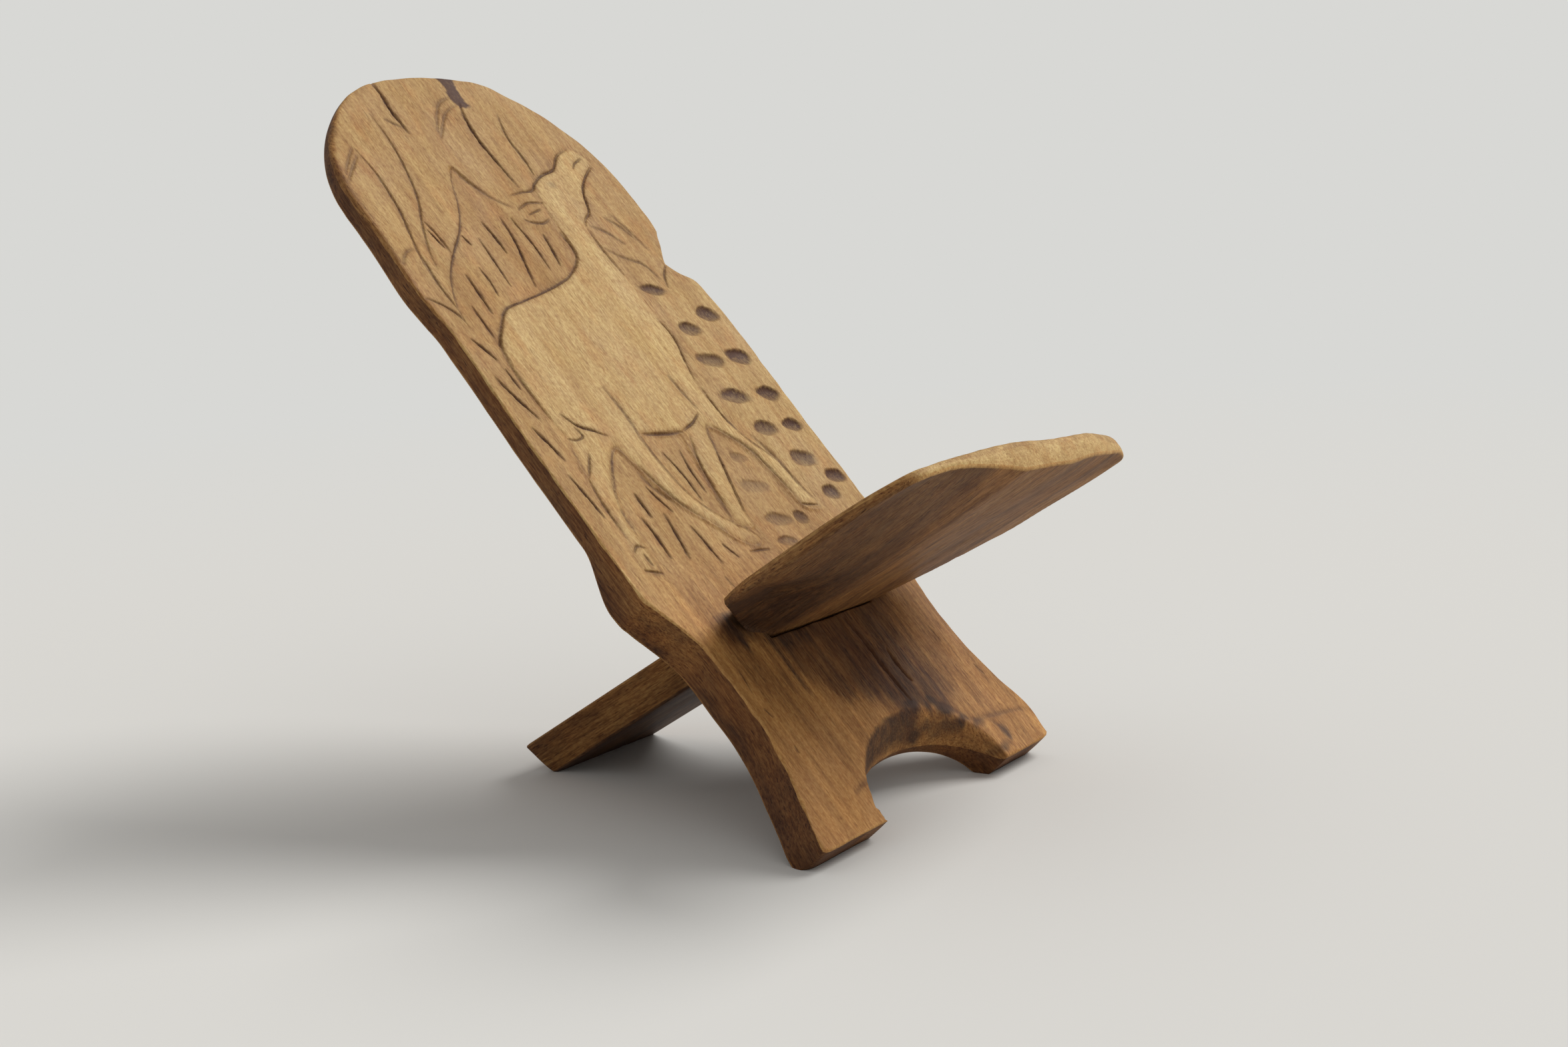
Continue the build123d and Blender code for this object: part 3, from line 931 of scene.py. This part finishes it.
def wood():
    """Oiled, handled hardwood. The vertices say how pale, dark, cut or warm each place is, and how much
    soot and painted shade it has.
    """
    material = bpy.data.materials.new("old_hardwood")
    n = Nodes(material, SURFACE)
    grain = n.attribute("grain", "Vector")

    # noises, stretched along the grain
    broad = n.noise(grain, (42, 3.4, 42), 3.0, 0.5, 0.6)
    band = n.noise(grain, (170, 7.0, 170), 4.0, 0.6, 0.4)
    fibre = n.noise(grain, (800, 60, 800), 4.0, 0.65)
    mottle = n.noise(grain, (620, 300, 620), 4.0, 0.7)
    pores = n.range(n.noise(grain, (1100, 120, 1100), 1.0, 0.5), 0.62, 0.70)
    blotch = n.noise(grain, (24, 15, 24), 4.0, 0.6)
    patch = n.noise(grain, (60, 26, 60), 3.0, 0.6)

    # bare wood, bleached and warm places
    streak = n.math("ADD", n.math("MULTIPLY", broad, 0.45), n.math("MULTIPLY", band, 0.55))
    streak = n.range(streak, 0.38, 0.62)
    colour = n.mix(streak, HONEY_DEEP, HONEY)
    pale = n.math("MULTIPLY", n.attribute("pale"), n.range(blotch, 0.3, 0.7, 0.75, 1.15), True)
    colour = n.mix(pale, colour, n.mix(streak, BLEACHED_DEEP, BLEACHED))
    colour = n.mix(n.range(patch, 0.5, 0.72, 0.0, 0.45), colour, ORANGE)
    warm = n.math("MAXIMUM", n.attribute("warm"), n.range(n.attribute("dark"), 0.05, 0.4, 0.0, 0.6))
    colour = n.mix(warm, colour, n.mix(streak, GOLDEN_DEEP, GOLDEN))

    # stain, soot and painted shade, and grime
    dark = n.math("ADD", n.attribute("dark"), n.range(blotch, 0.3, 0.7, -0.20, 0.20))
    dark = n.math("ADD", dark, n.range(streak, 0.0, 1.0, 0.12, -0.12), True)
    dark = n.math("MULTIPLY", dark, n.range(n.attribute("dark"), 0.0, 0.12), True)
    smoky = n.math("ADD", n.math("MULTIPLY", streak, 0.5), n.range(patch, 0.35, 0.65, 0.0, 0.5), True)
    colour = n.mix(dark, colour, n.mix(smoky, UMBER, UMBER_LIGHT))
    soot_and_shade = n.math("ADD", n.attribute("soot_and_shade"), n.range(band, 0.35, 0.65, -0.25, 0.25))
    soot_and_shade = n.math("MULTIPLY", soot_and_shade, n.range(n.attribute("soot_and_shade"), 0.0, 0.25), True)
    colour = n.mix(n.math("MULTIPLY", soot_and_shade, 0.85), colour, SOOT_AND_SHADE)
    grime = n.range(n.noise(grain, (300, 75, 300), 4.0, 0.7), 0.50, 0.68, 0.0, 0.30)
    colour = n.mix(grime, colour, UMBER_LIGHT)

    # fibres, mottling, pores and cuts
    coarse = n.range(n.attribute("dark"), 0.05, 0.5, 0.26, 0.70)
    colour = n.mix(n.math("MULTIPLY", n.range(fibre, 0.58, 0.38), coarse), colour, HONEY_DEEP, "MULTIPLY")
    colour = n.mix(n.math("MULTIPLY", n.range(mottle, 0.60, 0.38), 0.42), colour, ORANGE, "MULTIPLY")
    colour = n.mix(n.math("MULTIPLY", pores, coarse), colour, UMBER_LIGHT, "MULTIPLY")
    cut = n.math("MULTIPLY", n.attribute("cut"), n.range(mottle, 0.3, 0.7, 1.25, 0.82), True)
    colour = n.mix(cut, colour, CUT_BROWN)
    n.put(n.main.inputs["Base Color"], colour)
    n.put(n.main.inputs["Roughness"], n.range(blotch, 0.3, 0.7, 0.56, 0.70))
    n.put(n.main.inputs["Specular IOR Level"], 0.2)
    normal = n.bump(fibre, 0.30, 0.0004)
    normal = n.bump(mottle, 0.22, 0.0005, normal)
    normal = n.bump(pores, 0.35, -0.0004, normal)
    normal = n.bump(band, 0.22, 0.0010, normal)
    n.put(n.main.inputs["Normal"], normal)
    return material


# ---------------- pieces


def finish(piece, body, material, co, masks):
    """Stores each vertex's masks and its place in the grain; the piece stands for its plain plank."""
    attribute(piece, "grain", co * MM)
    for name, values in masks.items():
        attribute(piece, name, np.clip(values, 0, 1))
    piece.data.materials.append(material)
    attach(piece, body)
    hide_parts(body)


def back_masks(points, far, face_of):
    """How pale, dark, cut and warm each vertex of the back plank is, and its soot and painted shade."""
    x, s = points.T
    front, wall, rear = [(face_of == face) * 1.0 for face in (FRONT, WALL, REAR)]
    animal = signed_distance(points, ANIMAL)
    drift = waves(points, 45, 31, 3.0)
    streaks = waves(points, 9, 32, 9.0)

    # cut: lines, spots with painted shade on their upper side, the knot, the eye and a trace along the
    # animal's outline
    cut = np.maximum(cut_lines(points)[1], spots(points)[1]) * front
    knot = step(-1.2, 0.8, signed_distance(points, KNOT_OUTLINE) + 0.6 * waves(points, 5, 34))
    eye = 0.4 * step(4.5, 1, np.hypot((x - EYE[0]) / 1.4, s - EYE[1]))
    traced = np.exp(-((animal / 1.7) ** 2)) * (0.16 + 0.24 * step(320, 300, s)) * step(-0.9, 0.6, streaks)
    cut = np.maximum(cut, np.maximum.reduce([knot, eye, traced]) * front)

    # pale: the oiled ground, the animal, and arrises that hands have rubbed
    dimpled = step(20, 70, x) * step(450, 400, s)
    pale = step(165, 250, s) * (0.20 + 0.60 * step(-2, 4, animal) + 0.30 * dimpled)
    pale -= 0.20 * step(0, 4, signed_distance(points, PANEL))
    golden = step(230, 180, s) * step(-40, -80, x) * step(40, 0, far + 5 * streaks + 4 * drift)
    pale += 0.35 * golden * step(130, 200, s)
    worn = step(2.2, 0.6, far) * (0.35 + 0.3 * waves(points, 25, 33)) * step(560, 420, s)
    worn += 0.9 * step(1.7, 0.6, far) * step(240, 180, s) * step(-70, -90, x)
    pale = (pale + worn) * front

    # dark: the plank below the slot, stains, painted shade around the animal's relief, and the rear
    foot = step(130, 90, s) * step(-40, -65, x)
    low = step(225, 150, s) * (1.1 - 0.6 * golden - 0.7 * foot)
    low += 0.9 * blot(points + 2 * streaks[:, None], *ARRIS_STAIN)
    stain = signed_distance(points, spline(STAIN, 3.0, closed=True)) + 5 * streaks + 3 * drift
    edge = 0.55 * step(5.0 + 2 * streaks, 0.0, far) * step(330, 560, s) * step(-60, -125, x)
    under_seat = step(-12, 10, stain) * step(168, 161, s)
    into = scoop(points)
    # painted shade in the ground just outside the animal, to deepen its relief
    relief_shade = 0.14 * np.exp(-np.clip(-animal, 0, 40) / 6.0) * (animal < 0) * step(180, 215, s)
    dark = 0.20 * low + relief_shade + 0.05 * drift + edge + 0.45 * under_seat + 0.15 * step(0, 0.1, into)
    rubbed = step(4, 0.5, far + 1.5 * streaks) * 0.25
    behind = 0.46 + 0.12 * drift + 0.20 * step(300, 120, s) - rubbed
    dark = front * dark + wall * (0.92 + 0.10 * drift) + rear * behind

    # soot and painted shade: the stain under the seat, painted shade below the slot, the black places (the
    # first is painted shadow under the seat's left corner) and the scoop
    soot_and_shade = (0.46 + 0.16 * streaks) * under_seat + 0.4 * blot(points, *SLOT_SHADE)
    smeared = points + streaks[:, None] * (0.6, 1.6)
    for *place, darkness in BLACK_PLACES:
        soot_and_shade = soot_and_shade + darkness * blot(smeared, *place)
    soot_and_shade += 0.85 * step(0.0, 0.12, into) * step(1.0, 0.7, into) * step(30, 14, x) * step(-66, -40, x)
    soot_and_shade = front * soot_and_shade + wall * (0.24 + 0.12 * drift) + rear * 0.1
    warm = 0.75 * step(230, 140, s) * (front + wall)
    return {"pale": pale, "dark": dark, "soot_and_shade": soot_and_shade, "cut": cut, "warm": warm}


def build_back(material):
    """The leaning plank, with its arch, its slot and the carving on its front."""
    plan = back_plan()
    rear_slot = slot_loop(FOOT_THICKNESS * tan(SLOT_SLANT))
    faces_of = ([plan, slot_loop(0)], [plan, rear_slot])
    heights = (back_front_height, back_rear_height)
    axes = plank_axes(BACK_ORIGIN, BACK_ALONG, BACK_OUT)
    piece, co, far, face_of = plank("carved_back", faces_of, heights, True, axes, BACK_SWELL, COARSE)
    finish(piece, "back_plank", material, co, back_masks(co[:, :2], far, face_of))


def seat_masks(points, far, face_of):
    """How pale, dark, cut and warm each vertex of the seat is, and its soot and painted shade."""
    x, r = points[:, 0], -points[:, 1]
    top, wall, under = [(face_of == face) * 1.0 for face in (FRONT, WALL, REAR)]
    front = step(160, 186, r + 0.14 * x) * step(-143, -130, x)
    lanes = waves(points, 30, 41, 14.0)
    pale = top * (0.3 + 0.5 * step(12, 3, far) * front) * step(20, 80, r) + wall * 0.9 * front
    dark = top * (0.32 - 0.2 * front) + wall * (0.62 - 0.55 * front) + under * (0.54 + 0.08 * lanes)
    # painted shade: the tongue's underside darker, its walls a little lighter
    dark += (0.22 * under - 0.08 * wall) * step(10, -30, r)
    # the underside darkens to the left of a line that moves left towards the front
    edge = -8 - 25 * step(100, 205, r)
    left = step(edge - 22, edge - 66, x + 2 * lanes) * (0.6 + 0.4 * step(-130, -95, x))
    soot_and_shade = under * (0.08 + 0.07 * lanes + 0.50 * left) * step(-10, 20, r)
    # painted shadow on the wall and underside below the seat's left shoulder, next to the back plank
    soot_and_shade += (under + wall) * 0.8 * step(60, 20, r) * step(-12, 0, r) * step(-40, -70, x)
    # painted shade on the tongue's underside, and a little darkening on the walls away from the front
    soot_and_shade += under * 0.75 * step(0, -20, r) + wall * 0.12 * (1 - front)
    soot_and_shade += under * 0.35 * blot(points, *SHOULDER_SHADE)
    rim = under * front * step(2.0, 0.8, far)
    pale, dark, soot_and_shade = pale + 0.9 * rim, dark * (1 - rim), soot_and_shade * (1 - rim)
    cut, warm = np.zeros(len(x)), 0.5 * (under + wall * (1 - front))
    return {"pale": pale, "dark": dark, "soot_and_shade": soot_and_shade, "cut": cut, "warm": warm}


def build_seat(material):
    """The seat with its tongue: pale along the front rim, dark underneath on the left, where much of it is
    painted shade.
    """
    faces_of = ([seat_plan(0)], [seat_plan(TONGUE_SLANT)])
    heights = (seat_top_height, seat_under_height)
    axes = plank_axes(SEAT_ORIGIN, SEAT_ALONG, SEAT_OUT)
    piece, co, far, face_of = plank("bowed_seat", faces_of, heights, False, axes, SEAT_SWELL, SEAT_COARSE)
    finish(piece, "seat_plank", material, co, seat_masks(co[:, :2], far, face_of))


# ---------------- stage


def floor_material():
    """Pale floor that fades into the pale surroundings with distance from the chair."""
    material = bpy.data.materials.new("pale_floor")
    n = Nodes(material, SURFACE)
    n.put(n.main.inputs["Base Color"], FLOOR_COLOUR)
    n.put(n.main.inputs["Roughness"], 0.9)
    n.put(n.main.inputs["Specular IOR Level"], 0.1)
    length = n.add("VectorMath")
    length.operation = "LENGTH"
    n.put(length.inputs[0], n.add("NewGeometry").outputs["Position"])
    glow = n.add("Emission", Color=BACKGROUND)
    faded = n.range(length.outputs["Value"], FADE_START, FADE_END)
    surface = n.mix_shaders(faded, n.main.outputs["BSDF"], glow.outputs["Emission"])
    n.put(n.tree.nodes["Material Output"].inputs["Surface"], surface)
    return material


def build_floor():
    """One wide face at z = 0."""
    mesh = bpy.data.meshes.new("floor")
    corners = [(-1, -1), (1, -1), (1, 1), (-1, 1)]
    mesh.from_pydata([(x * FLOOR_HALF, y * FLOOR_HALF, 0) for x, y in corners], [], [(0, 1, 2, 3)])
    mesh.materials.append(floor_material())
    new_object("floor", mesh)


def sun(name, source, strength, angle):
    """Light from the side that source points to, with shadows as soft as the angle says."""
    light = bpy.data.lights.new(name, "SUN")
    light.energy, light.angle = strength, radians(angle)
    lamp = new_object(name, light)
    lamp.rotation_euler = (-Vector(source)).to_track_quat("-Z", "Y").to_euler()


def build_lights():
    """A broad window to the right, a weak fill from the front and pale surroundings."""
    sun("window", *WINDOW)
    sun("room", *ROOM)
    world = bpy.data.worlds.new("pale_room")
    bpy.context.scene.world = world
    n = Nodes(world, "Background")
    n.put(n.main.inputs["Color"], (1, 1, 1, 1))
    n.put(n.main.inputs["Strength"], AMBIENT)
    direct = n.add("LightPath").outputs["Is Camera Ray"]
    seen = n.add("Background", Color=BACKGROUND)
    surface = n.mix_shaders(direct, n.main.outputs[0], seen.outputs[0])
    n.put(n.tree.nodes["World Output"].inputs["Surface"], surface)


def build_camera():
    """Camera at its place, turned by its heading, pitch and roll."""
    ahead = Vector((cos(CAMERA_HEADING), sin(CAMERA_HEADING), 0))
    side = Vector((sin(CAMERA_HEADING), -cos(CAMERA_HEADING), 0))
    up = Vector((0, 0, 1))
    view = ahead * cos(CAMERA_PITCH) - up * sin(CAMERA_PITCH)
    level_down = -ahead * sin(CAMERA_PITCH) - up * cos(CAMERA_PITCH)
    right = side * cos(CAMERA_ROLL) - level_down * sin(CAMERA_ROLL)
    down = side * sin(CAMERA_ROLL) + level_down * cos(CAMERA_ROLL)
    data = bpy.data.cameras.new("camera")
    data.lens, data.sensor_width, data.sensor_fit = CAMERA_LENS, CAMERA_SENSOR, "HORIZONTAL"
    camera = new_object("camera", data)
    camera.matrix_world = Matrix((right, -down, -view)).transposed().to_4x4()
    camera.location = CAMERA_PLACE
    bpy.context.scene.camera = camera


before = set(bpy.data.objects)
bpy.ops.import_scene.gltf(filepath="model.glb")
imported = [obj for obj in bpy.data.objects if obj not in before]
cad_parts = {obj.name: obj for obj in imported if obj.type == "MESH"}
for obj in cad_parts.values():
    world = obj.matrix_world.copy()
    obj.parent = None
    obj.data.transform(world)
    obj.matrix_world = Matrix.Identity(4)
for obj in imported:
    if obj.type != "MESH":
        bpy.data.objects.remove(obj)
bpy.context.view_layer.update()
bpy.context.scene.view_settings.view_transform = "Standard"
hardwood = wood()
build_back(hardwood)
build_seat(hardwood)
build_floor()
build_lights()
build_camera()
